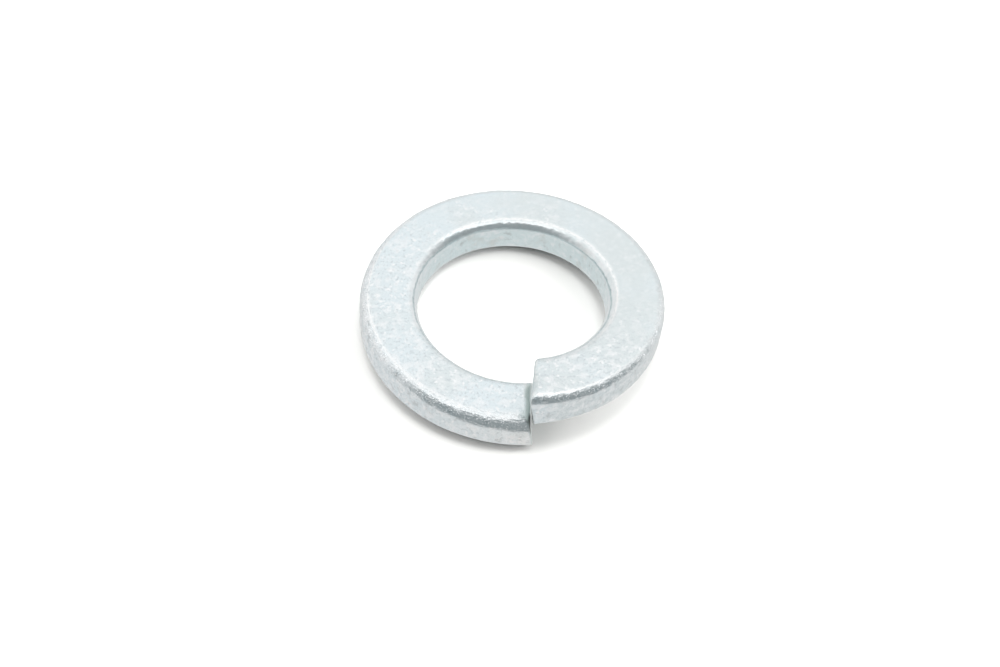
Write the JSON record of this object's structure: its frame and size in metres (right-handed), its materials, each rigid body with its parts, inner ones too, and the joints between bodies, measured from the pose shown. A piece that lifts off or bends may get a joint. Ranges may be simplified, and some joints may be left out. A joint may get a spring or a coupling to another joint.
{
  "type": "split spring lock washer",
  "caption": "Split helical spring lock washer: a turn of rounded rectangular zinc-plated steel wire, its raised end sheared on a slant, that tensions a bolted joint.",
  "frame": {"origin": "on the bore's axis, level with the washer's lowest point", "axes": "+Z along the bore's axis, towards the raised end; the split faces -Y; the coil climbs clockwise seen from above"},
  "size_m": [0.0266, 0.0266, 0.0066],
  "materials": {
    "zinc_plated_steel": "pale bluish zinc plate over blasted steel, fine grained and satin, brighter along worn edges"
  },
  "bodies": {
    "root": {"lock_washer": "zinc_plated_steel"}
  },
  "joints": []
}
